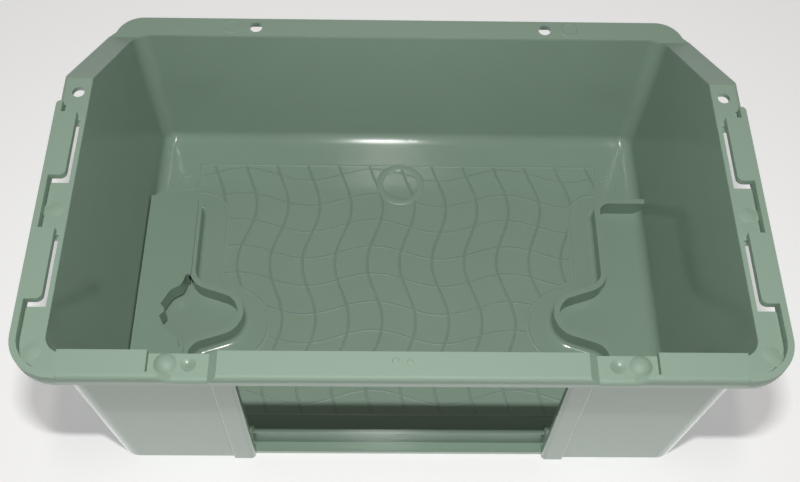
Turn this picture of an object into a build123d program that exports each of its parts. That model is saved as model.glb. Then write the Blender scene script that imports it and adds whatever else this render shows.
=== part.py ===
from build123d import *
from math import asin, atan, cos, degrees, radians, sin, sqrt, tan
import os

# Base tub of a transport box for birds and small pets, with the lift-off cover of its left feeder.
# Millimetres. X runs across the box, Y from its open front to its rear, Z up.
# The origin is on the ground, under the middle of the rim's outline.

# Outline of the box
rim_width = 340.0           # across the front corners of the rim
rim_depth = 242.0           # front edge of the rim to its rear edge
rim_level = 126.0           # top of the side and front rims
raise_height = 4.0          # lips and hook plates stand this much above the rim
rear_rim_level = 81.0       # top of the rear rim, which lies lower
floor_thickness = 3.0
wall = 2.4
rim_sheet = 2.5             # thickness of every rim sheet

# Walls: the front one is upright, the others lean outwards
side_lean = 0.083           # sideways run of a side wall per millimetre of height
rear_lean = 0.193
plan_narrowing = 0.009      # each side comes in this much per millimetre towards the rear
side_rim_reach = 14.4       # cavity edge to the outside of the side rim
front_rim_reach = 10.8      # outer face of the front wall to the rim's front edge
rear_rim_reach = 12.8       # cavity edge to the rear edge of the rim
cavity_front_radius = 8.5
cavity_rear_radius = 8.5
floor_fillet = 6.4          # rounded foot of the walls, inside

# The side rims drop to the rear rim over a sloping stretch, measured from the rim's front edge
slope_start = 162.5
slope_end = 227.2
rim_front_radius = 20.0
rim_rear_radius = 16.0
rear_corner_inset = 3.0     # the rear rim's corner starts this much inside the sloping rim
rear_corner_turn = 18.0     # degrees of that corner left out at its start
skirt_depth = 4.0           # the outer skirt hangs this much below the rim's top
skirt_thickness = 2.5

# Lip and hook plates on each side rim, with ends measured from the rim's front edge
lip_width = 3.0
lip_rear_end = 145.7
lip_end_round = 2.2
groove_width = 0.9          # groove in the rim along the foot of the lip
groove_depth = 1.5
plate_one_ends = (102.3, 139.1)
plate_two_ends = (37.3, 73.8)
plate_sheet = 3.5           # thickness of a hook plate
plate_corner_radius = 3.0
hook_slot_width = 1.3
hook_slot_inset = 2.3       # cavity edge to the long leg of the slot
hook_leg_width = 2.0
slot_one_length = 32.2
slot_two_length = 32.9
slot_one_tail = 2.2         # shallow end of the long leg, which doesn't go through
slot_two_tail = 1.6
slot_tail_depth = 1.2

# Front rim: raised corner plates and a raised bar, with lower lobes between them
front_plate_inset = 21.3    # outside of the rim to the corner plate's outer end
front_plate_length = 38.7
front_lip_run = 5.5         # the plate's front lip runs on this far, then ramps down
front_lip_ramp = 5.0
plate_edge_round = 2.0
lobe_edge_round = 2.2
bar_half_length = 84.0
bar_ramp = 4.0
bar_height = 3.5
bar_extra_depth = 2.6       # the bar stands this much further into the cavity

# Round holes through the rims
rear_hole_spacing = 164.4
rear_hole_setback = 6.3     # from the rear edge of the rim
rear_hole_diameter = 7.0
side_hole_setback = 8.4     # from the outside of the side rim
side_hole_y = 153.8         # from the rim's front edge
side_hole_diameter = 6.0

# Blind dimples in the front rim's lobes
dimple_pad_gap = 9.9        # middle of the front pad to the dimple's middle
dimple_setback = 8.2        # from the rim's front edge
dimple_radius = 3.4
dimple_depth = 1.2

# Rest pads: low domes that carry the upper half of the box, each with its radius and height
pad_sink = 0.6
front_pad = (5.0, 2.2)
front_pad_plate_gap = 7.4   # pad's middle to the inner end of the corner plate
front_pad_setback = 8.4
corner_pad = (4.0, 0.6)
corner_pad_inset = 9.6
corner_pad_setback = 14.0
side_pad = (4.0, 0.6)
side_pad_setback = 8.0
side_pad_y = 85.5

# Front opening, guide strips and sill
opening_width = 151.0
guide_width = 11.3
guide_proud = 1.3
guide_edge_round = 0.8
opening_edge_round = 2.6    # each guide's face turns into the opening with this radius
sill_setback = 1.5          # the floor's front edge lies this far behind the wall's outer face
sill_gap = 4.4              # slot between the front wall and the upstand behind it
sill_thickness = 2.3
sill_height = 13.0
sill_end_cover = 4.0        # the upstand runs this far behind each side of the opening
post_radius = 3.0
post_inset = 2.8            # post axis to the opening's side
post_height = 19.5

# Feeders, one on each side of the floor, with depths measured from the rim's front edge
trough_wall_height = 11.5
trough_wall = 3.2
trough_reach = 55.0         # outside of the rim to the outer face of the long wall
trough_rear = 164.4
trough_corner_radius = 9.0
trough_foot = 2.8           # fillet round the outside of the walls, on the floor
cup_reach = 14.4            # outer face of the long wall to the middle of the cup
cup_centre_y = 88.6
cup_radius = 14.3
cup_flank_angle = 18.6      # degrees that each flank of the cup leans
cup_neck_radius = 10.0

# Cover of the left feeder
cover_sheet = 2.0
cover_clearance = 0.5
cover_skirt = 1.8
cover_floor_gap = 2.5       # the skirt stops this much above the floor
cover_overlap = 1.2         # the cover lies this far over the feeder's long wall
cover_rear_overhang = 0.8   # its rear edge stands this far past the feeder's rear face
cover_corner_radius = 6.5
mouth_half_height = 22.2
mouth_depth = 15.0          # from the cover's long edge to the deepest point of the mouth
mouth_tip = 2.6
mouth_belly = (10.3, 12.6)  # corners of each half's outline, from the long edge and the middle
mouth_belly_radius = 8.0
mouth_waist = (4.6, 15.5)
mouth_waist_radius = 5.0
tooth_depth = 2.3
tooth_base = 7.4
tooth_tip = 2.2

# Underside
foot_ring_width = 9.0
foot_recess = 0.6

# Places worked out from the sizes above
y_front = -rim_depth / 2
y_rear = rim_depth / 2
top = rim_level + raise_height
reach = 400.0               # longer than the box in every direction, for cutting blocks
wall_face_y = y_front + front_rim_reach
cavity_front_y = wall_face_y + wall
cavity_rear_y = y_rear - rear_rim_reach
crease_y = y_front + slope_start
crease_end_y = y_front + slope_end
slope_angle = atan((rim_level - rear_rim_level) / (crease_end_y - crease_y))
trough_top = floor_thickness + trough_wall_height
trough_face_x = rim_width / 2 - trough_reach
trough_near_y = cavity_front_y - wall / 2
cup_centre_x = trough_face_x - cup_reach
front_plate_end = rim_width / 2 - front_plate_inset
front_plate_start = front_plate_end - front_plate_length
front_lip_end = front_plate_start - front_lip_run
front_pad_x = front_plate_start - front_pad_plate_gap


def rim_half(y):
    """Half width of the rim's outline at a depth, widest where the front corners end."""
    return rim_width / 2 - plan_narrowing * (y - y_front - rim_front_radius)


def cavity_half(z, y):
    """Half width of the cavity at a height and a depth."""
    return rim_half(y) - side_rim_reach - side_lean * (rim_level - z)


def cavity_rear(z):
    """Y of the cavity's rear face at a height."""
    return cavity_rear_y - rear_lean * (rear_rim_level - z)


def block(x_ends, y_ends, z_ends):
    """Box between two values along each axis."""
    size = [high - low for low, high in (x_ends, y_ends, z_ends)]
    middle = [(high + low) / 2 for low, high in (x_ends, y_ends, z_ends)]
    return Pos(*middle) * Box(*size)


def both_sides(solid):
    """A solid and its mirror image across the middle of the box."""
    return solid + mirror(solid, about=Plane.YZ)


def rounded(face, picked, radius):
    """A flat face with the picked corners rounded."""
    corners = [corner for corner in face.vertices() if picked(corner)]
    return fillet(corners, radius)


def prism(face, low, high):
    """A flat outline drawn at height zero, raised between two heights."""
    return Pos(0, 0, low) * extrude(face, high - low, dir=(0, 0, 1))


# Walls and floor


def plan_section(z, extra):
    """Rounded four-sided section of the cavity at a height, grown outwards by extra."""
    near = cavity_front_y - extra
    far = cavity_rear(z) + extra
    near_x = cavity_half(z, near) + extra
    far_x = cavity_half(z, far) + extra
    corners = [(-near_x, near), (near_x, near), (far_x, far), (-far_x, far)]
    face = make_face(Polyline(corners, close=True))
    face = rounded(face, lambda corner: abs(corner.Y - near) < 0.01, cavity_front_radius + extra)
    return rounded(face, lambda corner: abs(corner.Y - far) < 0.01, cavity_rear_radius + extra)


def leaning_solid(low, high, extra):
    """Solid between two of the sections, with the walls' lean."""
    sections = [Pos(0, 0, z) * plan_section(z, extra) for z in (low, high)]
    return loft(sections, ruled=True)


def side_profile(drop):
    """Solid under the rim's top line as seen from the side, with that line lowered by drop."""
    shift = drop * tan(slope_angle / 2)
    line = [
        (-reach, -1),
        (-reach, rim_level - drop),
        (crease_y - shift, rim_level - drop),
        (crease_end_y - shift, rear_rim_level - drop),
        (reach, rear_rim_level - drop),
        (reach, -1),
    ]
    face = Plane.YZ * make_face(Polyline(line, close=True))
    return extrude(face, reach / 2, both=True)


def outer_body():
    """The tub's outer form under the rim's top line."""
    return leaning_solid(0, top, wall) & side_profile(0)


def cavity():
    """The hollow inside the tub, with a rounded foot all round."""
    hollow = leaning_solid(floor_thickness, top + 10, 0)
    foot = hollow.faces().sort_by(Axis.Z)[0]
    return fillet(foot.edges(), floor_fillet)


# Rim


def rim_outline():
    """Outline of the whole rim seen from above."""
    slope_end_x = rim_half(crease_end_y) - side_lean * (rim_level - rear_rim_level)
    turn = radians(rear_corner_turn)
    centre_x = slope_end_x - rear_corner_inset - rim_rear_radius
    start_x = centre_x + rim_rear_radius * cos(turn)
    start_y = y_rear - rim_rear_radius * (1 - sin(turn))
    tip_x = start_x - (y_rear - start_y) * tan(turn)
    right = [
        (rim_half(y_front), y_front),
        (rim_half(crease_y), crease_y),
        (slope_end_x, crease_end_y),
        (start_x, start_y),
        (tip_x, y_rear),
    ]
    left = [(-x, y) for x, y in reversed(right)]
    face = make_face(Polyline(right + left, close=True))
    face = rounded(face, lambda corner: abs(corner.Y - y_front) < 0.01, rim_front_radius)
    rear_radius = rim_rear_radius * 0.97
    return rounded(face, lambda corner: abs(corner.Y - y_rear) < 0.01, rear_radius)


def rim_band(width, low, high):
    """Band along the inside of the rim's outline between two heights."""
    outline = rim_outline()
    return prism(outline - offset(outline, -width), low, high)


def rim_sheet_and_skirt():
    """Sheet that follows the rim's top line, with the skirt hanging from its outer edge."""
    sheet = prism(rim_outline(), 0, top) & (side_profile(0) - side_profile(rim_sheet))
    skirt = rim_band(skirt_thickness, 0, top) & (side_profile(0) - side_profile(skirt_depth))
    return sheet + skirt


def lips():
    """Raised lip along each side rim and round each front corner, with a rounded rear end."""
    band = rim_band(lip_width, rim_level - 1, top)
    rear_y = y_front + lip_rear_end
    right = band & block((front_plate_end - 1, reach), (-reach, rear_y), (0, reach))
    rear_edges = right.edges().filter_by(Axis.Z).group_by(Axis.Y)[-1]
    return both_sides(fillet(rear_edges.sort_by(Axis.X)[-1], lip_end_round))


def lip_groove():
    """Groove in the right rim along the foot of the lip, where no plate stands."""
    band = rim_band(lip_width + groove_width, rim_level - groove_depth, rim_level)
    groove_area = block((front_plate_end, reach), (-reach, y_front + lip_rear_end), (0, reach))
    groove = band & groove_area
    for ends in (plate_one_ends, plate_two_ends):
        y_ends = [y_front + end for end in ends]
        groove = groove - block((0, reach), y_ends, (0, reach))
    return groove - rim_band(lip_width, 0, reach)


def plate_inner_x(y):
    """Inner edge of a hook plate, beside the long leg of its slot."""
    return cavity_half(rim_level, y) + hook_slot_inset + hook_slot_width


def hook_plate(ends):
    """Raised hook plate of the right side rim, with a rounded corner where its slot turns."""
    near, far = [y_front + end for end in ends]
    inner = [(plate_inner_x(near), near), (plate_inner_x(far), far)]
    outer = [(rim_half(far) - 1, far), (rim_half(near) - 1, near)]
    face = make_face(Polyline(inner + outer, close=True))
    at_turn = lambda corner: corner.Y < near + 0.01 and corner.X < plate_inner_x(near) + 1
    return prism(rounded(face, at_turn, plate_corner_radius), rim_level - 1, top)


def hook_plate_hollow(ends, length):
    """Room under a hook plate for the hook that slides in from the short leg."""
    near = y_front + ends[0]
    back = near + length
    inner = [(plate_inner_x(near) - 1, near - 1), (plate_inner_x(back) - 1, back)]
    outer = [(rim_half(back) - lip_width, back), (rim_half(near) - lip_width, near - 1)]
    return prism(make_face(Polyline(inner + outer, close=True)), rim_level - 10, top - plate_sheet)


def slot_leg(near, far, low):
    """Long leg of a hook slot, which follows the cavity's edge between two depths."""
    inner = [(cavity_half(rim_level, y) + hook_slot_inset, y) for y in (near, far)]
    outer = [(x + hook_slot_width, y) for x, y in reversed(inner)]
    return prism(make_face(Polyline(inner + outer, close=True)), low, top + 1)


def hook_slot(plate_ends, length, tail):
    """L-shaped slot beside a hook plate: a long leg with a shallow tail, and a short leg."""
    corner_y = y_front + plate_ends[0]
    near = corner_y - hook_leg_width
    inner_x = cavity_half(rim_level, corner_y) + hook_slot_inset
    outer_x = rim_half(corner_y) - lip_width
    low = rim_level - 10
    across = block((inner_x, outer_x), (near, corner_y), (low, top + 1))
    through = slot_leg(near, corner_y + length, low)
    shallow = slot_leg(corner_y, corner_y + length + tail, rim_level - slot_tail_depth)
    return through + shallow + across


def front_plate():
    """Raised corner plate of the front rim's right half, with the lip that runs on from it."""
    low = rim_level - skirt_depth
    x_ends = (front_plate_start, front_plate_end)
    plate = block(x_ends, (y_front, cavity_front_y), (low, top))
    foot_x = front_lip_end - front_lip_ramp
    line = [
        (front_plate_start + 1, low),
        (front_plate_start + 1, top),
        (front_lip_end, top),
        (foot_x, rim_level),
        (foot_x, low),
    ]
    face = Plane.XZ * make_face(Polyline(line, close=True))
    lip = Pos(0, y_front + lip_width, 0) * extrude(face, lip_width)
    edge_y = y_front + 0.01
    body = plate + lip
    lobe_edges = body.edges().filter_by(lambda edge: edge.center().Z > rim_level)
    front_edges = lobe_edges.filter_by(lambda edge: edge.center().Y < edge_y)
    top_edges = [edge for edge in front_edges if abs(edge.tangent_at(0.5).X) > 0.5]
    return fillet(top_edges, plate_edge_round)


def front_plate_hollow():
    """Room under a raised corner plate."""
    x_ends = (front_plate_start + rim_sheet, front_plate_end - rim_sheet)
    y_ends = (y_front + skirt_thickness, wall_face_y)
    return block(x_ends, y_ends, (rim_level - 10, top - rim_sheet))


def front_bar():
    """Raised bar over the opening, with a ramp at each end."""
    low = rim_level - skirt_depth
    ramp_x = bar_half_length - bar_ramp
    line = [
        (-bar_half_length, low),
        (-bar_half_length, rim_level),
        (-ramp_x, rim_level + bar_height),
        (ramp_x, rim_level + bar_height),
        (bar_half_length, rim_level),
        (bar_half_length, low),
    ]
    face = Plane.XZ * make_face(Polyline(line, close=True))
    depth = front_rim_reach + wall + bar_extra_depth
    bar = Pos(0, y_front + depth, 0) * extrude(face, depth)
    long_edges = bar.edges().filter_by(Axis.X).group_by(Axis.Z)[-1]
    return fillet(long_edges, plate_edge_round)


def front_bar_hollow():
    """Room under the bar, between the skirt and the front wall."""
    inside = bar_half_length - bar_ramp - rim_sheet
    y_ends = (y_front + skirt_thickness, wall_face_y)
    return block((-inside, inside), y_ends, (rim_level - 10, rim_level + bar_height - rim_sheet))


def rest_pad(x, y, size):
    """Low dome standing on the rim."""
    radius, height = size
    ball = (radius ** 2 + height ** 2) / (2 * height)
    lowest = degrees(asin((ball - height - pad_sink) / ball))
    on_base = (Align.CENTER, Align.CENTER, Align.MIN)
    return Pos(x, y, rim_level - pad_sink) * Sphere(ball, arc_size1=lowest, align=on_base)


def rest_pads():
    """Domes of the right half: front rim, front corner and side rim."""
    side_y = y_front + side_pad_y
    corner_y = y_front + corner_pad_setback
    pads = rest_pad(front_pad_x, y_front + front_pad_setback, front_pad)
    pads += rest_pad(rim_half(corner_y) - corner_pad_inset, corner_y, corner_pad)
    pads += rest_pad(rim_half(side_y) - side_pad_setback, side_y, side_pad)
    return pads


def dimple():
    """Ball that presses the blind dimple into the right lobe of the front rim."""
    ball = (dimple_radius ** 2 + dimple_depth ** 2) / (2 * dimple_depth)
    x = front_pad_x - dimple_pad_gap
    return Pos(x, y_front + dimple_setback, rim_level - dimple_depth + ball) * Sphere(ball)


def rim_holes():
    """Round holes of the right half: rear rim and side rim."""
    side_y = y_front + side_hole_y
    places = [
        (rear_hole_spacing / 2, y_rear - rear_hole_setback, rear_hole_diameter),
        (rim_half(side_y) - side_hole_setback, side_y, side_hole_diameter),
    ]
    holes = [Pos(x, y, rim_level / 2 + top / 2) * Cylinder(size / 2, top) for x, y, size in places]
    return holes[0] + holes[1]


def rim():
    """The whole rim with its raised parts, slots and holes, before the cavity is cut."""
    right = hook_plate(plate_one_ends) + hook_plate(plate_two_ends) + front_plate()
    base = rim_sheet_and_skirt()
    front_edge = base.edges().filter_by(Axis.X).group_by(Axis.Y)[0].sort_by(Axis.Z)[-1]
    base = fillet(front_edge, lobe_edge_round) - both_sides(lip_groove())
    raised = base + lips() + both_sides(right) + front_bar()
    hollows = hook_plate_hollow(plate_one_ends, slot_one_length)
    hollows += hook_plate_hollow(plate_two_ends, slot_two_length) + front_plate_hollow()
    return raised - both_sides(hollows) - front_bar_hollow()


def rim_cuts():
    """Slots, holes and dimples of the rim, both sides."""
    slots = hook_slot(plate_one_ends, slot_one_length, slot_one_tail)
    slots += hook_slot(plate_two_ends, slot_two_length, slot_two_tail)
    return both_sides(slots + rim_holes() + dimple())


# Front opening


def opening_cut():
    """The opening through the front wall and its rounded foot, with rounded front edges."""
    half = opening_width / 2
    face = wall_face_y - guide_proud
    near = face - 1
    high = rim_level - skirt_depth
    past_foot = cavity_front_y + floor_fillet + sill_gap
    above = block((-half, half), (near, past_foot), (floor_thickness, high))
    below = block((-half, half), (near, wall_face_y + sill_setback), (-1, rim_level / 2))
    turn = opening_edge_round
    corner = block((half - 1, half + turn), (near, face + turn), (-1, high))
    edge = Pos(half + turn, face + turn, high / 2) * Cylinder(turn, high * 2)
    return above + below + both_sides(corner - edge)


def guide_strip():
    """Strip standing proud of the front wall beside the opening's right side."""
    half = opening_width / 2
    y_ends = (wall_face_y - guide_proud, wall_face_y + wall / 2)
    strip = block((half, half + guide_width), y_ends, (0, rim_level - rim_sheet / 2))
    edges = strip.edges().filter_by(Axis.Z).group_by(Axis.Y)[0]
    return fillet(edges, guide_edge_round)


def sill():
    """Upstand behind the opening, with a round post at each end."""
    half = opening_width / 2
    near = cavity_front_y + sill_gap
    far = near + sill_thickness
    low = floor_thickness / 2
    x_end = half + sill_end_cover
    upstand = block((-x_end, x_end), (near, far), (low, floor_thickness + sill_height))
    height = floor_thickness + post_height - low
    post = Pos(half + post_inset, far, low + height / 2) * Cylinder(post_radius, height)
    return upstand + both_sides(post)


# Feeders


def trough_area():
    """Area that the right feeder covers, out to the outer faces of its walls."""
    lean = radians(cup_flank_angle)
    tip_x = cup_centre_x - cup_radius / sin(lean)
    neck = (trough_face_x - tip_x) * tan(lean)
    middle = y_front + cup_centre_y
    rear = y_front + trough_rear
    near = trough_near_y
    far_x = rim_width / 2
    line = [
        (far_x, rear),
        (trough_face_x, rear),
        (trough_face_x, middle + neck),
        (tip_x, middle),
        (trough_face_x, middle - neck),
        (trough_face_x, near),
        (far_x, near),
    ]
    face = make_face(Polyline(line, close=True))
    face = rounded(face, lambda corner: abs(corner.X - tip_x) < 0.01, cup_radius)
    at_neck = lambda corner: abs(abs(corner.Y - middle) - neck) < 0.01
    face = rounded(face, at_neck, cup_neck_radius)
    at_corner = lambda corner: abs(corner.Y - rear) < 0.01 and corner.X < far_x - 1
    return rounded(face, at_corner, trough_corner_radius)


def trough_walls():
    """Walls of the right feeder with the filleted floor that they stand on."""
    area = trough_area()
    near = area.bounding_box().min.Y
    low = floor_thickness / 2
    ground = block((0, rim_width / 2), (near, y_rear), (low, floor_thickness))
    solid = ground + prism(area, low, trough_top)
    foot = solid.edges().filter_by(lambda edge: on_trough_foot(edge, near))
    solid = fillet(foot, trough_foot)
    return solid - prism(offset(area, -trough_wall), floor_thickness, trough_top + 1)


def on_trough_foot(edge, near):
    """Whether an edge lies where the right feeder's outer faces meet the floor."""
    box = edge.bounding_box()
    level = abs(box.min.Z - floor_thickness) < 0.01 and abs(box.max.Z - floor_thickness) < 0.01
    inside = box.min.X > 1 and box.center().X < rim_width / 2 - 1
    return level and inside and box.center().Y > near + 1 and box.center().Y < y_rear - 1


def tub():
    """The one moulding: walls, floor, rim, sill and both feeders."""
    outer = outer_body()
    feeders = both_sides(trough_walls()) & outer
    body = outer + rim() - cavity() + feeders + both_sides(guide_strip())
    body = body - opening_cut() + sill() - rim_cuts() + both_sides(rest_pads())
    ring = offset(plan_section(0, wall), -foot_ring_width)
    return body - prism(ring, -1, foot_recess)


# Cover of the left feeder, drawn on the right and mirrored


def mouth_area():
    """Onion-shaped mouth in the cover's long edge, with a grip tooth in its deepest point."""
    edge_x = trough_face_x + trough_wall - cover_overlap
    middle = y_front + cup_centre_y
    half = [
        (-trough_wall, mouth_half_height),
        (mouth_tip, mouth_half_height),
        mouth_waist,
        mouth_belly,
        (mouth_depth, tooth_base / 2),
        (mouth_depth - tooth_depth, tooth_tip / 2),
    ]
    other = [(away, -up) for away, up in reversed(half)]
    line = [(edge_x + away, middle + up) for away, up in half + other]
    face = make_face(Polyline(line, close=True))

    def round_at(face, spot, radius):
        def near_spot(corner):
            away = abs(corner.X - edge_x - spot[0])
            return away < 0.01 and abs(abs(corner.Y - middle) - spot[1]) < 0.01

        return rounded(face, near_spot, radius)

    face = round_at(face, mouth_belly, mouth_belly_radius)
    return round_at(face, mouth_waist, mouth_waist_radius)


def cover_area():
    """Outline of the cover's sheet, which lies on the feeder's walls."""
    near = cavity_front_y + cover_clearance
    far = y_front + trough_rear + cover_rear_overhang
    inner_x = trough_face_x + trough_wall - cover_overlap
    line = [
        (inner_x, near),
        (cavity_half(trough_top, near) - cover_clearance, near),
        (cavity_half(trough_top, far) - cover_clearance, far),
        (inner_x, far),
    ]
    face = make_face(Polyline(line, close=True))
    at_tub_corner = lambda corner: corner.Y < near + 0.01 and corner.X > inner_x + 1
    face = rounded(face, at_tub_corner, cavity_front_radius - cover_clearance)
    return rounded(face, lambda corner: abs(corner.Y - far) < 0.01, cover_corner_radius)


def foot_reach(height):
    """How far the rounded foot of the walls reaches inwards at a height above the floor."""
    below_start = max(floor_fillet - height, 0)
    return floor_fillet - sqrt(floor_fillet ** 2 - below_start ** 2)


def cover_inside_area():
    """Area inside the feeder that the cover's skirt goes round."""
    wall_gap = foot_reach(cover_floor_gap) + cover_clearance
    near = trough_near_y + trough_wall + cover_clearance
    far = y_front + trough_rear - trough_wall - cover_clearance
    inner_x = trough_face_x + trough_wall + cover_clearance
    line = [
        (inner_x, near),
        (cavity_half(floor_thickness, near) - wall_gap, near),
        (cavity_half(floor_thickness, far) - wall_gap, far),
        (inner_x, far),
    ]
    face = make_face(Polyline(line, close=True))
    at_tub_corner = lambda corner: corner.Y < near + 0.01 and corner.X > inner_x + 1
    face = rounded(face, at_tub_corner, cavity_front_radius - wall_gap)
    inner_radius = trough_corner_radius - trough_wall
    return rounded(face, lambda corner: abs(corner.Y - far) < 0.01, inner_radius)


def feeder_cover():
    """Cover of the left feeder: a sheet with a skirt all round and along its mouth."""
    mouth = mouth_area()
    inside = cover_inside_area()
    rim_line = inside - offset(inside, -cover_skirt)
    mouth_line = offset(mouth, cover_skirt) & inside
    skirt = prism(rim_line + mouth_line, floor_thickness + cover_floor_gap, trough_top)
    sheet = prism(cover_area(), trough_top, trough_top + cover_sheet)
    opening = prism(mouth, 0, top)
    return mirror(sheet + skirt - opening, about=Plane.YZ)


os.makedirs("parts", exist_ok=True)
export_step(tub(), "parts/base_tub.step")
export_step(feeder_cover(), "parts/left_feeder_cover.step")
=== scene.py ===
"""Looks of a pet transport box: an open moulded tub with two feeders and one lift-off feeder cover.

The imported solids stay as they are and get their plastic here. The fine relief that the mould leaves
on them, which is the waved floor pattern, its border and the marks of the sprue, gates and ejector
pins, is made as meshes that ride on the tub. Sizes are in millimetres unless a name says otherwise.
"""

import logging
import math
from dataclasses import dataclass
from enum import Enum
from typing import Any

import bmesh
import bpy
from mathutils import Matrix, Vector


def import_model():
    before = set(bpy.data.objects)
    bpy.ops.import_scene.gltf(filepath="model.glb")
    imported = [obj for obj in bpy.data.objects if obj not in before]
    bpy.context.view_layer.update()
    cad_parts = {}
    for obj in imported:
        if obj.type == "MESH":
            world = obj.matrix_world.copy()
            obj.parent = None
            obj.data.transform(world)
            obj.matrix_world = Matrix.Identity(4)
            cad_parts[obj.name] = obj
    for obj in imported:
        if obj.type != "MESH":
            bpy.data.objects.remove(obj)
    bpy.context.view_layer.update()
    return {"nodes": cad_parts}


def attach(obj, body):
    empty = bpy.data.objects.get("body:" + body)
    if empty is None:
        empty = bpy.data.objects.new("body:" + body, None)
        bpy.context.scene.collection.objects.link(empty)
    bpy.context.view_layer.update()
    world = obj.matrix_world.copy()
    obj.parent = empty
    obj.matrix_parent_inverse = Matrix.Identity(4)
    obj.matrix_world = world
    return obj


MM = 0.001
LOG = logging.getLogger("pet_transport_box")

FRONT_EDGE_Y = -121.0
FLOOR_Z = 3.0
RIM_Z = 126.0
REAR_RIM_Z = 81.0
SLOPE_START_Y = 41.5
SLOPE_END_Y = 106.2
FRONT_BAR_Z = 129.5

BEAD_SIDES = 12
RING_SIDES = 64
PIP_SIDES = 24
# The waves are trimmed by rays that start this far above them and reach this far down
PROBE_HEIGHT = 10.0
PROBE_REACH = 20.0

# The sRGB standard's curve: straight up to the knee, a power above it
SRGB_KNEE = 0.04045
SRGB_SLOPE = 12.92
SRGB_OFFSET = 0.055
SRGB_POWER = 2.4


class CadNode(Enum):
    """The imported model's nodes."""

    TUB = "base_tub"
    COVER = "left_feeder_cover"


class Mixed(Enum):
    """What a mix node mixes."""

    NUMBERS = "FLOAT"
    COLOURS = "RGBA"


def add_node(
    tree: bpy.types.NodeTree,
    kind: str,
    inputs: dict[str | int, Any] | None = None,
    **settings: Any,
) -> bpy.types.Node:
    """Adds one node with its settings, and sets or links its inputs.

    Args:
        tree: the node tree that gets the node.
        kind: the node's type name.
        inputs: a value or an output socket for each input, by name or number.
        **settings: properties of the node itself.

    Returns:
        The new node.
    """
    node = tree.nodes.new(kind)
    for name, value in settings.items():
        setattr(node, name, value)
    for key, value in (inputs or {}).items():
        if isinstance(value, bpy.types.NodeSocket):
            tree.links.new(value, node.inputs[key])
        else:
            node.inputs[key].default_value = value
    return node


def math_of(
    tree: bpy.types.NodeTree, operation: str, first: Any, second: Any = 0.0
) -> bpy.types.NodeSocket:
    """Result of a sum on two numbers or sockets."""
    return add_node(tree, "ShaderNodeMath", {0: first, 1: second}, operation=operation).outputs[0]


def mix_of(
    tree: bpy.types.NodeTree, mixed: Mixed, share: Any, first: Any, second: Any
) -> bpy.types.NodeSocket:
    """Mix of two numbers or two colours.

    Args:
        tree: the node tree that gets the mix node.
        mixed: whether numbers or colours are mixed.
        share: the second one's share, as a number or a socket.
        first: what a share of 0 gives.
        second: what a share of 1 gives.

    Returns:
        The socket of the mix.
    """
    inputs = {"Factor": share, "A": first, "B": second}
    return add_node(tree, "ShaderNodeMix", inputs, data_type=mixed.value).outputs["Result"]


def linear(colour: str) -> tuple[float, float, float, float]:
    """Turns an sRGB hex colour into the linear colour that nodes take.

    Args:
        colour: a hash sign and six hex digits.

    Returns:
        Red, green, blue and an alpha of 1.
    """
    shares = [int(colour[i : i + 2], 16) / 255 for i in (1, 3, 5)]
    red, green, blue = [
        share / SRGB_SLOPE
        if share <= SRGB_KNEE
        else ((share + SRGB_OFFSET) / (1 + SRGB_OFFSET)) ** SRGB_POWER
        for share in shares
    ]
    return red, green, blue, 1.0


def link_to_scene(obj: bpy.types.Object) -> bpy.types.Object:
    """Puts an object in the scene and returns it."""
    bpy.context.scene.collection.objects.link(obj)
    return obj


@dataclass(frozen=True)
class MilledZone:
    """Zone of the tub where the mould was milled in close parallel paths across the box.

    It reaches from one depth to another, up to a height, and equally far to each side.
    """

    near: float
    far: float
    top: float
    half_width: float

    def share(self, tree: bpy.types.NodeTree, parts: bpy.types.Node) -> bpy.types.NodeSocket:
        """Tells which places lie in the zone.

        Args:
            tree: the material's nodes.
            parts: the node that parts the Object coordinates.

        Returns:
            A socket that is 1 in the zone and 0 elsewhere.
        """
        off_middle = math_of(tree, "ABSOLUTE", parts.outputs["X"])
        behind = math_of(tree, "GREATER_THAN", parts.outputs["Y"], self.near * MM)
        before = math_of(tree, "LESS_THAN", parts.outputs["Y"], self.far * MM)
        under = math_of(tree, "LESS_THAN", parts.outputs["Z"], self.top * MM)
        beside = math_of(tree, "LESS_THAN", off_middle, self.half_width * MM)
        in_depth = math_of(tree, "MULTIPLY", behind, before)
        return math_of(tree, "MULTIPLY", in_depth, math_of(tree, "MULTIPLY", under, beside))


REAR_FOOT = MilledZone(near=86.0, far=94.9, top=9.0, half_width=170.0)
SILL = MilledZone(near=-103.6, far=-100.9, top=16.5, half_width=80.0)


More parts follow.
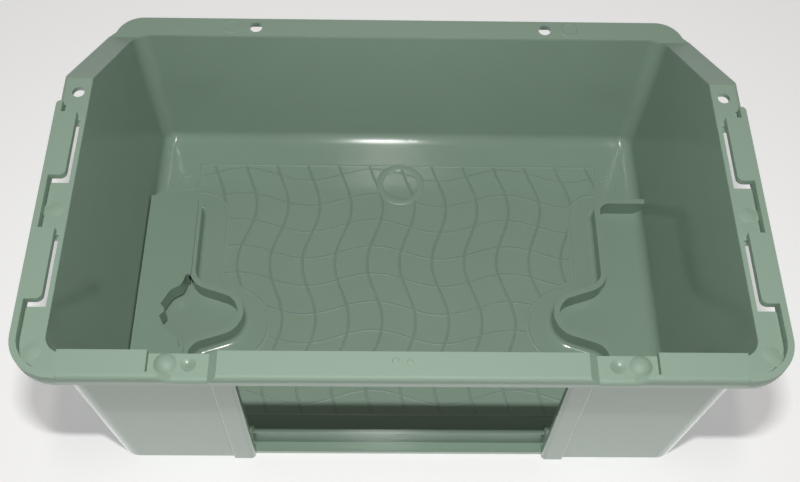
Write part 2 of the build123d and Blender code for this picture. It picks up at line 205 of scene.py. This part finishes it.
@dataclass(frozen=True)
class MouldedPlastic:
    """Injection-moulded ABS: an even colour under a clear, slightly wavy gloss, and a satin rim.

    The melt's flow leaves faint clouds some centimetres across, and the mould's polish leaves a
    fine ripple that breaks up the edges of reflections. The rest is what the photograph's
    highlights suggest. The rim's face of the mould was blasted, so highlights on it are broad and
    soft, and its colour is painted a little paler: painted light for the light that falls on the
    rim's top. In the milled zones a highlight spreads up and down but hardly sideways. The rim's
    finish fades in between two distances under the rim's top line.
    """

    name: str
    colour: str
    cloud_colour: str
    roughness: float = 0.12
    roughness_spread: float = 0.05
    # The rim's paler colour is painted light, for the light that falls on the rim's top
    painted_light_rim_colour: str = "#97AF9C"
    rim_roughness: float = 0.58
    rim_fade: tuple[float, float] = (1.2, 0.4)
    ior: float = 1.5
    cloud_size: float = 45.0
    cloud_detail: float = 3.0
    cloud_roughness: float = 0.45
    cloud_range: tuple[float, float] = (0.3, 0.7)
    ripple_size: float = 5.0
    ripple_detail: float = 1.0
    ripple_height: float = 0.012
    milled_roughness: float = 0.23

    def material(self) -> bpy.types.Material:
        """Builds the node material.

        Returns:
            The material, reading Object coordinates only.
        """
        material = bpy.data.materials.new(self.name)
        material.use_nodes = True
        tree = material.node_tree
        tree.nodes.clear()
        place = add_node(tree, "ShaderNodeTexCoord").outputs["Object"]
        parts = add_node(tree, "ShaderNodeSeparateXYZ", {"Vector": place})
        clouds = add_node(
            tree,
            "ShaderNodeTexNoise",
            {
                "Vector": place,
                "Scale": 1 / (self.cloud_size * MM),
                "Detail": self.cloud_detail,
                "Roughness": self.cloud_roughness,
            },
        ).outputs["Fac"]
        on_rim = self.on_rim(tree, parts)
        milled = math_of(tree, "ADD", REAR_FOOT.share(tree, parts), SILL.share(tree, parts))
        clouded = mix_of(
            tree, Mixed.COLOURS, clouds, linear(self.colour), linear(self.cloud_colour)
        )
        upward = add_node(tree, "ShaderNodeCombineXYZ", {"X": 0.0, "Y": 1.0, "Z": 1.0}).outputs[0]
        shader = add_node(
            tree,
            "ShaderNodeBsdfPrincipled",
            {
                # On the rim the colour turns paler: painted light on the rim's top
                "Base Color": mix_of(
                    tree, Mixed.COLOURS, on_rim, clouded, linear(self.painted_light_rim_colour)
                ),
                "Roughness": self.finish(tree, clouds, on_rim, milled),
                "IOR": self.ior,
                "Anisotropic": milled,
                "Tangent": upward,
                "Normal": self.rippled(tree, place),
            },
        )
        add_node(tree, "ShaderNodeOutputMaterial", {"Surface": shader.outputs["BSDF"]})
        return material

    def finish(
        self,
        tree: bpy.types.NodeTree,
        clouds: bpy.types.NodeSocket,
        on_rim: bpy.types.NodeSocket,
        milled: bpy.types.NodeSocket,
    ) -> bpy.types.NodeSocket:
        """Roughness of each place: polished with the clouds' spread, blasted rim, milled zones.

        Args:
            tree: the material's nodes.
            clouds: the flow clouds, from 0 to 1.
            on_rim: 1 on the rim and 0 below it.
            milled: 1 in the milled zones and 0 elsewhere.

        Returns:
            The roughness.
        """
        low, high = self.cloud_range
        polished = add_node(
            tree,
            "ShaderNodeMapRange",
            {
                "Value": clouds,
                "From Min": low,
                "From Max": high,
                "To Min": self.roughness,
                "To Max": self.roughness + self.roughness_spread,
            },
        ).outputs["Result"]
        blasted = mix_of(tree, Mixed.NUMBERS, on_rim, polished, self.rim_roughness)
        return mix_of(tree, Mixed.NUMBERS, milled, blasted, self.milled_roughness)

    def rippled(
        self, tree: bpy.types.NodeTree, place: bpy.types.NodeSocket
    ) -> bpy.types.NodeSocket:
        """Normal of the surface with the polish's fine ripple on it.

        Args:
            tree: the material's nodes.
            place: the Object coordinates.

        Returns:
            The normal.
        """
        ripple = add_node(
            tree,
            "ShaderNodeTexNoise",
            {
                "Vector": place,
                "Scale": 1 / (self.ripple_size * MM),
                "Detail": self.ripple_detail,
            },
        ).outputs["Fac"]
        return add_node(
            tree,
            "ShaderNodeBump",
            {"Height": ripple, "Distance": self.ripple_height * MM, "Strength": 1.0},
        ).outputs["Normal"]

    def on_rim(self, tree: bpy.types.NodeTree, parts: bpy.types.Node) -> bpy.types.NodeSocket:
        """Share of a place that belongs to the rim: all of it from just under the rim's top line.

        Args:
            tree: the material's nodes.
            parts: the node that parts the Object coordinates.

        Returns:
            A socket that is 1 on the rim and 0 below it.
        """
        rim_line = add_node(
            tree,
            "ShaderNodeMapRange",
            {
                "Value": parts.outputs["Y"],
                "From Min": SLOPE_START_Y * MM,
                "From Max": SLOPE_END_Y * MM,
                "To Min": RIM_Z * MM,
                "To Max": REAR_RIM_Z * MM,
            },
        ).outputs["Result"]
        above = math_of(tree, "SUBTRACT", parts.outputs["Z"], rim_line)
        start, full = self.rim_fade
        return add_node(
            tree,
            "ShaderNodeMapRange",
            {"Value": above, "From Min": -start * MM, "From Max": -full * MM},
        ).outputs["Result"]


@dataclass(frozen=True)
class MattBoard:
    """Matt white laminate board of the table: nearly even, with a faint mottle and no shine.

    The camera sees it with a glow added, which keeps the box's shadow soft on it. The box's
    reflections see it with a stronger glow, a painted reflection that makes the box's walls look
    paler. The light that it throws back on the box comes from the plain board.
    """

    name: str = "table_matt_laminate"
    colour: str = "#E7E7E6"
    mottle_colour: str = "#E3E3E2"
    mottle_size: float = 160.0
    roughness: float = 0.6
    glow_colour: str = "#FFFFFF"
    seen_glow: float = 0.36
    # The glow that reflections see is a painted reflection, which makes the box's walls paler
    painted_reflection_glow: float = 0.954

    def material(self) -> bpy.types.Material:
        """Builds the node material.

        Returns:
            The material of the table.
        """
        material = bpy.data.materials.new(self.name)
        material.use_nodes = True
        tree = material.node_tree
        tree.nodes.clear()
        place = add_node(tree, "ShaderNodeTexCoord").outputs["Object"]
        mottle = add_node(
            tree, "ShaderNodeTexNoise", {"Vector": place, "Scale": 1 / (self.mottle_size * MM)}
        ).outputs["Fac"]
        colour = mix_of(
            tree, Mixed.COLOURS, mottle, linear(self.colour), linear(self.mottle_colour)
        )
        plain = add_node(
            tree, "ShaderNodeBsdfPrincipled", {"Base Color": colour, "Roughness": self.roughness}
        )
        path = add_node(tree, "ShaderNodeLightPath")
        camera, mirror = path.outputs["Is Camera Ray"], path.outputs["Is Glossy Ray"]
        strength = mix_of(tree, Mixed.NUMBERS, mirror, self.seen_glow, self.painted_reflection_glow)
        board = add_node(tree, "ShaderNodeBsdfDiffuse", {"Color": linear(self.colour)})
        glow = add_node(
            tree,
            "ShaderNodeEmission",
            {"Color": linear(self.glow_colour), "Strength": strength},
        )
        glowing = add_node(
            tree, "ShaderNodeAddShader", {0: board.outputs[0], 1: glow.outputs[0]}
        )
        surface = add_node(
            tree,
            "ShaderNodeMixShader",
            {
                0: math_of(tree, "MAXIMUM", camera, mirror),
                1: plain.outputs["BSDF"],
                2: glowing.outputs[0],
            },
        )
        add_node(tree, "ShaderNodeOutputMaterial", {"Surface": surface.outputs[0]})
        return material


@dataclass
class Camera:
    """The photograph's camera, found from the box's rim, walls and floor. Angles are in degrees."""

    place: tuple[float, float, float] = (-10.1, -303.3, 563.0)
    pitch: float = 59.974
    yaw: float = 1.945
    roll: float = 2.122
    lens: float = 49.5
    sensor_width: float = 36.0
    clip_start: float = 10.0

    def build(self) -> None:
        """Adds the camera and makes it the scene's own."""
        pitch, yaw, roll = (math.radians(angle) for angle in (self.pitch, self.yaw, self.roll))
        ahead = Vector(
            (math.sin(yaw) * math.cos(pitch), math.cos(yaw) * math.cos(pitch), -math.sin(pitch))
        )
        level = ahead.cross(Vector((0, 0, 1))).normalized()
        upward = level.cross(ahead)
        right = level * math.cos(roll) + upward * math.sin(roll)
        above = upward * math.cos(roll) - level * math.sin(roll)
        data = bpy.data.cameras.new("photo_camera")
        data.lens = self.lens
        data.sensor_width = self.sensor_width
        data.clip_start = self.clip_start * MM
        camera = link_to_scene(bpy.data.objects.new("photo_camera", data))
        turn = Matrix((right, above, -ahead)).transposed()
        camera.matrix_world = Matrix.Translation(Vector(self.place) * MM) @ turn.to_4x4()
        bpy.context.scene.camera = camera


@dataclass(frozen=True)
class Lamp:
    """A rectangular area lamp: its place, the spot that it faces, its size and its power."""

    name: str
    place: tuple[float, float, float]
    aim: tuple[float, float, float]
    width: float
    height: float
    watts: float
    colour: str = "#FFFFFF"

    def build(self) -> None:
        """Adds the lamp."""
        data = bpy.data.lights.new(self.name, "AREA")
        data.shape = "RECTANGLE"
        data.size = self.width * MM
        data.size_y = self.height * MM
        data.energy = self.watts
        data.color = linear(self.colour)[:3]
        lamp = link_to_scene(bpy.data.objects.new(self.name, data))
        place = Vector(self.place) * MM
        towards = Vector(self.aim) * MM - place
        lamp.rotation_mode = "QUATERNION"
        lamp.rotation_quaternion = towards.to_track_quat("-Z", "Y")
        lamp.location = place


CAMERA_LAMP = Lamp(
    name="camera_lamp",
    place=(-12.0, -228.5, 713.0),
    aim=(0.0, 0.0, 40.0),
    width=60.0,
    height=14.0,
    watts=2.8,
)
STRIP_LAMP = Lamp(
    name="strip_lamp",
    place=(0.0, -190.0, 1500.0),
    aim=(0.0, -190.0, 0.0),
    width=80.0,
    height=340.0,
    watts=2.7,
    colour="#FFF1F0",
)


@dataclass
class Studio:
    """Table, room light, the lamp above the camera that throws the shadows, and a strip overhead.

    The room is light low down in front of the box and behind it. Reaches and heights are the depth
    and the height of a unit vector that points a way: the light starts at side_reach, is full from
    window_reach on, and fades out upwards between low_height and high_height.
    """

    table_width: float = 6000.0
    lamps: tuple[Lamp, ...] = (CAMERA_LAMP, STRIP_LAMP)
    room_colour: str = "#F4F6F5"
    overhead_strength: float = 0.01
    side_strength: float = 0.02
    window_strength: float = 0.52
    side_reach: float = 0.5
    window_reach: float = 0.8
    low_height: float = 0.42
    high_height: float = 0.58
    seen_colour: str = "#E9E9E9"

    def build(self) -> None:
        """Adds the table, the room's light and the lamps."""
        self.table()
        self.room()
        for lamp in self.lamps:
            lamp.build()

    def table(self) -> None:
        """Adds the plain pale table that the box stands on."""
        half = self.table_width / 2 * MM
        mesh = bpy.data.meshes.new("table")
        corners = [(-half, -half, 0), (half, -half, 0), (half, half, 0), (-half, half, 0)]
        mesh.from_pydata(corners, [], [(0, 1, 2, 3)])
        table = link_to_scene(bpy.data.objects.new("table", mesh))
        mesh.materials.append(MattBoard().material())

    def room(self) -> None:
        """Sets the room's light, low from the front and the rear, and a plain pale background."""
        world = bpy.data.worlds.new("room")
        bpy.context.scene.world = world
        world.use_nodes = True
        tree = world.node_tree
        tree.nodes.clear()
        seen = add_node(tree, "ShaderNodeLightPath").outputs["Is Camera Ray"]
        ways = add_node(tree, "ShaderNodeTexCoord").outputs["Generated"]
        parts = add_node(tree, "ShaderNodeSeparateXYZ", {"Vector": ways})
        low_light = add_node(
            tree,
            "ShaderNodeMapRange",
            {
                "Value": math_of(tree, "ABSOLUTE", parts.outputs["Y"]),
                "From Min": self.side_reach,
                "From Max": self.window_reach,
                "To Min": self.side_strength,
                "To Max": self.window_strength,
            },
            interpolation_type="SMOOTHSTEP",
        )
        strength = add_node(
            tree,
            "ShaderNodeMapRange",
            {
                "Value": parts.outputs["Z"],
                "From Min": self.low_height,
                "From Max": self.high_height,
                "To Min": low_light.outputs["Result"],
                "To Max": self.overhead_strength,
            },
            interpolation_type="SMOOTHSTEP",
        )
        light = add_node(
            tree,
            "ShaderNodeBackground",
            {"Color": linear(self.room_colour), "Strength": strength.outputs["Result"]},
        )
        backdrop = add_node(
            tree, "ShaderNodeBackground", {"Color": linear(self.seen_colour), "Strength": 1.0}
        )
        both = add_node(
            tree,
            "ShaderNodeMixShader",
            {0: seen, 1: light.outputs["Background"], 2: backdrop.outputs["Background"]},
        )
        add_node(tree, "ShaderNodeOutputWorld", {"Surface": both.outputs["Shader"]})


def spread(start: float, end: float, count: int) -> list[float]:
    """Evenly spaced values from a start to an end, both included."""
    return [start + (end - start) * i / (count - 1) for i in range(count)]


def on_circle(centre: Vector, radius: float, angle: float) -> tuple[float, float]:
    """Point of a circle at an angle."""
    return centre.x + radius * math.cos(angle), centre.y + radius * math.sin(angle)


class NodeTree:
    """A Geometry Nodes tree with named inputs, which is run on a mesh and baked to a plain one."""

    def __init__(self, name: str) -> None:
        """Starts an empty tree that takes and gives geometry.

        Args:
            name: the tree's name.
        """
        self.tree = bpy.data.node_groups.new(name, "GeometryNodeTree")
        self.tree.is_modifier = True
        self.socket("Geometry", "NodeSocketGeometry")
        self.tree.interface.new_socket(
            "Geometry", in_out="OUTPUT", socket_type="NodeSocketGeometry"
        )
        self.start = add_node(self.tree, "NodeGroupInput")

    def socket(self, name: str, kind: str = "NodeSocketFloat") -> None:
        """Adds a named input."""
        self.tree.interface.new_socket(name, in_out="INPUT", socket_type=kind)

    def given(self, name: str) -> bpy.types.NodeSocket:
        """The socket that carries a named input into the tree."""
        return self.start.outputs[name]

    def add(
        self, kind: str, inputs: dict[str | int, Any] | None = None, **settings: Any
    ) -> bpy.types.Node:
        """Adds a node to this tree."""
        return add_node(self.tree, kind, inputs, **settings)

    def math(self, operation: str, first: Any, second: Any = 0.0) -> bpy.types.NodeSocket:
        """Result of a sum on two numbers or sockets."""
        return math_of(self.tree, operation, first, second)

    def finish(self, geometry: bpy.types.NodeSocket) -> None:
        """Ends the tree: real meshes, smooth, in the material that the modifier names.

        Args:
            geometry: what the tree has made.
        """
        smooth = self.add("GeometryNodeSetShadeSmooth", {"Geometry": geometry})
        real = self.add("GeometryNodeRealizeInstances", {"Geometry": smooth.outputs[0]})
        dressed = self.add(
            "GeometryNodeSetMaterial",
            {"Geometry": real.outputs[0], "Material": self.given("Material")},
        )
        self.add("NodeGroupOutput", {"Geometry": dressed.outputs[0]})

    def bake(self, name: str, source: bpy.types.Mesh, values: dict[str, Any]) -> bpy.types.Object:
        """Runs the tree on a mesh.

        Args:
            name: the new object's name.
            source: the mesh that the tree starts from.
            values: a value for each named input.

        Returns:
            A new object with a plain mesh and no modifier.
        """
        carrier = link_to_scene(bpy.data.objects.new(name + "_source", source))
        modifier = carrier.modifiers.new("nodes", "NODES")
        modifier.node_group = self.tree
        for item in self.tree.interface.items_tree:
            if item.in_out == "INPUT" and item.name in values:
                modifier[item.identifier] = values[item.name]
        graph = bpy.context.evaluated_depsgraph_get()
        mesh = bpy.data.meshes.new_from_object(carrier.evaluated_get(graph))
        mesh.name = name
        bpy.data.objects.remove(carrier)
        return link_to_scene(bpy.data.objects.new(name, mesh))


def bead_nodes(nodes: NodeTree, path: bpy.types.NodeSocket) -> bpy.types.NodeSocket:
    """Sweeps a low rounded bead along a flat path, sunk so that only its top shows.

    Args:
        nodes: the tree, with the inputs Half Width, Half Height and Sink.
        path: the curve that the bead follows.

    Returns:
        The bead's mesh.
    """
    circle = nodes.add(
        "GeometryNodeCurvePrimitiveCircle", {"Resolution": BEAD_SIDES, "Radius": 1.0}
    )
    size = nodes.add(
        "ShaderNodeCombineXYZ",
        {"X": nodes.given("Half Width"), "Y": nodes.given("Half Height"), "Z": 1.0},
    )
    section = nodes.add(
        "GeometryNodeTransform", {"Geometry": circle.outputs["Curve"], "Scale": size.outputs[0]}
    )
    upright = nodes.add("GeometryNodeSetCurveNormal", {"Curve": path}, mode="Z_UP")
    bead = nodes.add(
        "GeometryNodeCurveToMesh",
        {"Curve": upright.outputs[0], "Profile Curve": section.outputs[0], "Fill Caps": True},
    )
    down = nodes.math("MULTIPLY", nodes.given("Sink"), -1.0)
    sink = nodes.add("ShaderNodeCombineXYZ", {"Z": down})
    return nodes.add(
        "GeometryNodeTransform", {"Geometry": bead.outputs[0], "Translation": sink.outputs[0]}
    ).outputs[0]


@dataclass(frozen=True)
class Bead:
    """Cross-section of a moulded bead: part of an ellipse that stands out of the surface."""

    width: float
    height: float
    sunk_share: float = 0.8

    def inputs(self, material: bpy.types.Material) -> dict[str, Any]:
        """Values for the inputs of a tree that makes beads.

        Args:
            material: the bead's plastic.

        Returns:
            Values by input name, in metres.
        """
        half_height = self.height * (1 + self.sunk_share)
        sink = self.height * self.sunk_share
        half_width = self.width / 2 / math.sqrt(1 - (sink / half_height) ** 2)
        return {
            "Half Width": half_width * MM,
            "Half Height": half_height * MM,
            "Sink": sink * MM,
            "Material": material,
        }

    @staticmethod
    def sockets(nodes: NodeTree) -> None:
        """Gives a tree the inputs that a bead needs.

        Args:
            nodes: the tree.
        """
        for name in ("Half Width", "Half Height", "Sink"):
            nodes.socket(name)
        nodes.socket("Material", "NodeSocketMaterial")


@dataclass(frozen=True)
class WaveFamily:
    """Parallel waves: where the first one lies, their pitch and count, and the sine of each.

    Crosswise waves run from side to side, the others from the front to the rear.
    """

    name: str
    first: float
    pitch: float
    count: int
    phase: float
    height: float
    length: float
    crosswise: bool


LONG_WAVES = WaveFamily(
    name="long_waves",
    first=-107.66,
    pitch=18.78,
    count=13,
    phase=-2.004,
    height=4.5,
    length=75.25,
    crosswise=False,
)
CROSS_WAVES = WaveFamily(
    name="cross_waves",
    first=-77.9,
    pitch=18.03,
    count=9,
    phase=2.753,
    height=4.25,
    length=78.0,
    crosswise=True,
)


@dataclass
class FloorPattern:
    """Low rounded beads moulded on the floor: a grid of waves in a border round the feeders.

    Depths are measured back from the rim's front edge, and halves from the box's middle.
    """

    material: bpy.types.Material
    # The waves' darker plastic is painted shade, for the shade on their steep flanks
    painted_shade_wave_material: bpy.types.Material
    bead: Bead = Bead(width=1.9, height=0.3)
    long_bead: Bead = Bead(width=1.5, height=0.3)
    cross_bead: Bead = Bead(width=1.3, height=0.08)
    step: float = 1.0
    reach: float = 260.0
    rear_depth: float = 194.0
    front_depth: float = 33.0
    side_half: float = 119.5
    feeder_half: float = 100.9
    feeder_rear: float = 173.6
    feeder_round: float = 16.5
    feeder_round_points: int = 9
    cup_depth: float = 86.0
    cup_half: float = 95.5
    cup_radius: float = 22.8
    cup_neck: float = 29.7
    cup_points: int = 12

    def build(self) -> None:
        """Adds both families of waves and the border."""
        area = self.area()
        waves = self.wave_tree()
        for family, bead in ((LONG_WAVES, self.long_bead), (CROSS_WAVES, self.cross_bead)):
            values = bead.inputs(self.painted_shade_wave_material) | {
                "First": family.first * MM,
                "Pitch": family.pitch * MM,
                "Count": family.count,
                "Phase": family.phase,
                "Wave Height": family.height * MM,
                "Wave Length": family.length * MM,
                "Crosswise": family.crosswise,
                "Step": self.step * MM,
                "Reach": self.reach * MM,
                "Level": FLOOR_Z * MM,
            }
            ride_on_tub(waves.bake("floor_" + family.name, area, values))
        ride_on_tub(self.border_tree().bake("floor_border", area, self.bead.inputs(self.material)))

    def border(self) -> list[tuple[float, float]]:
        """Works out the border's outline: straight sides, turned round each feeder and its cup.

        Returns:
            Points in x and y, anticlockwise, in millimetres.
        """
        middle = FRONT_EDGE_Y + self.cup_depth
        neck = Vector((self.feeder_half, middle + self.cup_neck))
        centre = Vector((self.cup_half, middle))
        away = neck - centre
        touch = math.atan2(away.y, away.x) + math.acos(self.cup_radius / away.length)
        cup_angles = spread(math.pi, touch, self.cup_points)
        upper = [on_circle(centre, self.cup_radius, angle) for angle in cup_angles]
        upper.append((neck.x, neck.y))
        lower = [(x, 2 * middle - y) for x, y in reversed(upper[1:])]
        rear = FRONT_EDGE_Y + self.feeder_rear
        turn = Vector((self.feeder_half + self.feeder_round, rear - self.feeder_round))
        turn_angles = spread(math.pi, math.pi / 2, self.feeder_round_points)
        corner = [on_circle(turn, self.feeder_round, angle) for angle in turn_angles]
        ends = [(self.side_half, rear), (self.side_half, FRONT_EDGE_Y + self.rear_depth)]
        start = [(self.feeder_half, FRONT_EDGE_Y + self.front_depth)]
        right = start + lower + upper + corner + ends
        return right + [(-x, y) for x, y in reversed(right)]

    def area(self) -> bpy.types.Mesh:
        """Flat face inside the border, on the floor.

        Returns:
            A mesh with one face, which the trees trim the waves by and take the border from.
        """
        mesh = bpy.data.meshes.new("floor_area")
        corners = [(x * MM, y * MM, FLOOR_Z * MM) for x, y in self.border()]
        mesh.from_pydata(corners, [], [range(len(corners))])
        return mesh

    @staticmethod
    def wave_tree() -> NodeTree:
        """Tree that lays parallel sine waves, keeps what lies over the incoming face and beads it.

        Returns:
            The tree, with an input for each value of a family and of its bead.
        """
        nodes = NodeTree("parallel_waves")
        names = ("First", "Pitch", "Phase", "Wave Height", "Wave Length", "Step", "Reach", "Level")
        for name in names:
            nodes.socket(name)
        nodes.socket("Count", "NodeSocketInt")
        nodes.socket("Crosswise", "NodeSocketBool")
        Bead.sockets(nodes)
        start = nodes.add("ShaderNodeCombineXYZ", {"Y": nodes.given("First")})
        offset = nodes.add("ShaderNodeCombineXYZ", {"Y": nodes.given("Pitch")})
        row = nodes.add(
            "GeometryNodeMeshLine",
            {
                "Count": nodes.given("Count"),
                "Start Location": start.outputs[0],
                "Offset": offset.outputs[0],
            },
        )
        half = nodes.math("MULTIPLY", nodes.given("Reach"), 0.5)
        low = nodes.add("ShaderNodeCombineXYZ", {"X": nodes.math("MULTIPLY", half, -1.0)})
        high = nodes.add("ShaderNodeCombineXYZ", {"X": half})
        line = nodes.add(
            "GeometryNodeCurvePrimitiveLine", {"Start": low.outputs[0], "End": high.outputs[0]}
        )
        steps = nodes.math("DIVIDE", nodes.given("Reach"), nodes.given("Step"))
        fine = nodes.add("GeometryNodeResampleCurve", {"Curve": line.outputs[0], "Count": steps})
        lines = nodes.add(
            "GeometryNodeInstanceOnPoints",
            {"Points": row.outputs[0], "Instance": fine.outputs[0]},
        )
        real = nodes.add("GeometryNodeRealizeInstances", {"Geometry": lines.outputs[0]})
        place = nodes.add("GeometryNodeInputPosition")
        parts = nodes.add("ShaderNodeSeparateXYZ", {"Vector": place.outputs[0]})
        turns = nodes.math("DIVIDE", parts.outputs["X"], nodes.given("Wave Length"))
        swept = nodes.math("MULTIPLY", turns, 2 * math.pi)
        angle = nodes.math("ADD", swept, nodes.given("Phase"))
        swing = nodes.math("MULTIPLY", nodes.math("SINE", angle), nodes.given("Wave Height"))
        away = nodes.math("ADD", parts.outputs["Y"], swing)
        level = nodes.given("Level")
        across = nodes.add(
            "ShaderNodeCombineXYZ", {"X": parts.outputs["X"], "Y": away, "Z": level}
        ).outputs[0]
        along = nodes.add(
            "ShaderNodeCombineXYZ", {"X": away, "Y": parts.outputs["X"], "Z": level}
        ).outputs[0]
        chosen = nodes.add(
            "GeometryNodeSwitch",
            {"Switch": nodes.given("Crosswise"), "False": along, "True": across},
            input_type="VECTOR",
        )
        waved = nodes.add(
            "GeometryNodeSetPosition",
            {"Geometry": real.outputs[0], "Position": chosen.outputs[0]},
        )
        wires = nodes.add("GeometryNodeCurveToMesh", {"Curve": waved.outputs[0]})
        above = nodes.add(
            "ShaderNodeVectorMath",
            {0: place.outputs[0], 1: (0.0, 0.0, PROBE_HEIGHT * MM)},
            operation="ADD",
        )
        over = nodes.add(
            "GeometryNodeRaycast",
            {
                "Target Geometry": nodes.given("Geometry"),
                "Source Position": above.outputs[0],
                "Ray Direction": (0.0, 0.0, -1.0),
                "Ray Length": PROBE_REACH * MM,
            },
        )
        outside = nodes.add("FunctionNodeBooleanMath", {0: over.outputs["Is Hit"]}, operation="NOT")
        kept = nodes.add(
            "GeometryNodeDeleteGeometry",
            {"Geometry": wires.outputs[0], "Selection": outside.outputs[0]},
            domain="POINT",
        )
        curves = nodes.add("GeometryNodeMeshToCurve", {"Mesh": kept.outputs[0]})
        nodes.finish(bead_nodes(nodes, curves.outputs[0]))
        return nodes

    @staticmethod
    def border_tree() -> NodeTree:
        """Tree that beads the edge of the incoming face.

        Returns:
            The tree, with the inputs of a bead.
        """
        nodes = NodeTree("beaded_edge")
        Bead.sockets(nodes)
        edge = nodes.add("GeometryNodeMeshToCurve", {"Mesh": nodes.given("Geometry")})
        nodes.finish(bead_nodes(nodes, edge.outputs[0]))
        return nodes


@dataclass(frozen=True)
class RingMark:
    """A round mark that the mould leaves: where its middle is, its radius and its bead."""

    name: str
    places: tuple[tuple[float, float, float], ...]
    radius: float
    bead: Bead


@dataclass
class MouldMarks:
    """Round marks of ejector pins and of the sprue, and the two gate pips on the front bar.

    Depths are measured back from the rim's front edge, and halves from the box's middle.
    """

    material: bpy.types.Material
    floor_mark_depth: float = 180.6
    rim_mark_depth: float = 236.3
    sprue_x: float = 1.0
    floor_ejector_half: float = 126.5
    rim_ejector_half: float = 95.9
    pip_places: tuple[tuple[float, float, float], ...] = (
        (-3.6, -111.9, FRONT_BAR_Z),
        (2.7, -112.6, FRONT_BAR_Z),
    )
    pip_radius: float = 1.5
    pip_height: float = 0.35

    def build(self) -> None:
        """Adds the rings and the pips."""
        tree = self.ring_tree()
        for mark in self.rings():
            values = mark.bead.inputs(self.material) | {"Radius": mark.radius * MM}
            ride_on_tub(tree.bake(mark.name, self.points(mark), values))
        ride_on_tub(self.pips())

    def rings(self) -> list[RingMark]:
        """Lists the rings on the floor and on the rear rim.

        Returns:
            The sprue's ring, and the ejector pins' rings of each surface.
        """
        floor_y = FRONT_EDGE_Y + self.floor_mark_depth
        rim_y = FRONT_EDGE_Y + self.rim_mark_depth
        return [
            RingMark(
                name="sprue_ring",
                places=((self.sprue_x, floor_y, FLOOR_Z),),
                radius=12.4,
                bead=Bead(width=4.2, height=0.35),
            ),
            RingMark(
                name="floor_ejector_rings",
                places=(
                    (-self.floor_ejector_half, floor_y, FLOOR_Z),
                    (self.floor_ejector_half, floor_y, FLOOR_Z),
                ),
                radius=5.2,
                bead=Bead(width=1.0, height=0.2),
            ),
            RingMark(
                name="rear_rim_ejector_rings",
                places=(
                    (-self.rim_ejector_half, rim_y, REAR_RIM_Z),
                    (self.rim_ejector_half, rim_y, REAR_RIM_Z),
                ),
                radius=4.3,
                bead=Bead(width=1.5, height=0.2),
            ),
        ]

    @staticmethod
    def points(mark: RingMark) -> bpy.types.Mesh:
        """Makes a loose point at the middle of each ring.

        Args:
            mark: the rings.

        Returns:
            A mesh of the points.
        """
        mesh = bpy.data.meshes.new(mark.name + "_points")
        mesh.from_pydata([[value * MM for value in place] for place in mark.places], [], [])
        return mesh

    @staticmethod
    def ring_tree() -> NodeTree:
        """Tree that puts a beaded circle round each incoming point.

        Returns:
            The tree, with the inputs of a bead and the circle's radius.
        """
        nodes = NodeTree("beaded_rings")
        nodes.socket("Radius")
        Bead.sockets(nodes)
        circle = nodes.add(
            "GeometryNodeCurvePrimitiveCircle",
            {"Resolution": RING_SIDES, "Radius": nodes.given("Radius")},
        )
        ring = bead_nodes(nodes, circle.outputs["Curve"])
        rings = nodes.add(
            "GeometryNodeInstanceOnPoints", {"Points": nodes.given("Geometry"), "Instance": ring}
        )
        nodes.finish(rings.outputs[0])
        return nodes

    def pips(self) -> bpy.types.Object:
        """Low domes where the plastic was let into the mould, at the middle of the front bar.

        Returns:
            One object with all the pips.
        """
        width, height = self.pip_radius * MM, self.pip_height * MM
        size = Matrix.Diagonal(Vector((width, width, height, 1.0)))
        shape = bmesh.new()
        for place in self.pip_places:
            spot = Matrix.Translation(Vector(place) * MM)
            bmesh.ops.create_uvsphere(
                shape,
                u_segments=PIP_SIDES,
                v_segments=PIP_SIDES // 2,
                radius=1,
                matrix=spot @ size,
            )
        for face in shape.faces:
            face.smooth = True
        mesh = bpy.data.meshes.new("gate_pips")
        shape.to_mesh(mesh)
        shape.free()
        mesh.materials.append(self.material)
        return link_to_scene(bpy.data.objects.new("gate_pips", mesh))


def ride_on_tub(piece: bpy.types.Object) -> None:
    """Makes a piece of relief ride on the tub, and reports it.

    Args:
        piece: the finished piece, at the origin.
    """
    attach(piece, "tub")
    LOG.info("%s rides on the tub, %d faces", piece.name, len(piece.data.polygons))


def main() -> None:
    """Loads the frame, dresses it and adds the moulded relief."""
    logging.basicConfig(level=logging.INFO, format="%(name)s: %(message)s")
    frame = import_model()
    bpy.context.scene.view_settings.view_transform = "Standard"
    Camera().build()
    Studio().build()
    tub = MouldedPlastic("tub_moulded_abs", "#8DA492", "#92A997")
    cover = MouldedPlastic("cover_moulded_abs", "#8AA391", "#8FA795", roughness=0.16)
    relief = MouldedPlastic("relief_moulded_abs", "#8DA492", "#92A997", roughness=0.38)
    # In the photograph the waves look a shade darker than the floor between them; their darker
    # plastic is painted shade for the shade on their steep flanks
    waves = MouldedPlastic("wave_relief_painted_shade_abs", "#82988A", "#879D8E", roughness=0.42)
    for name, finish in ((CadNode.TUB, tub), (CadNode.COVER, cover)):
        node = frame["nodes"][name.value]
        node.data.materials.clear()
        node.data.materials.append(finish.material())
        LOG.info("dressed %s", name.value)
    relief_plastic = relief.material()
    FloorPattern(relief_plastic, waves.material()).build()
    MouldMarks(relief_plastic).build()


if __name__ == "__main__":
    main()
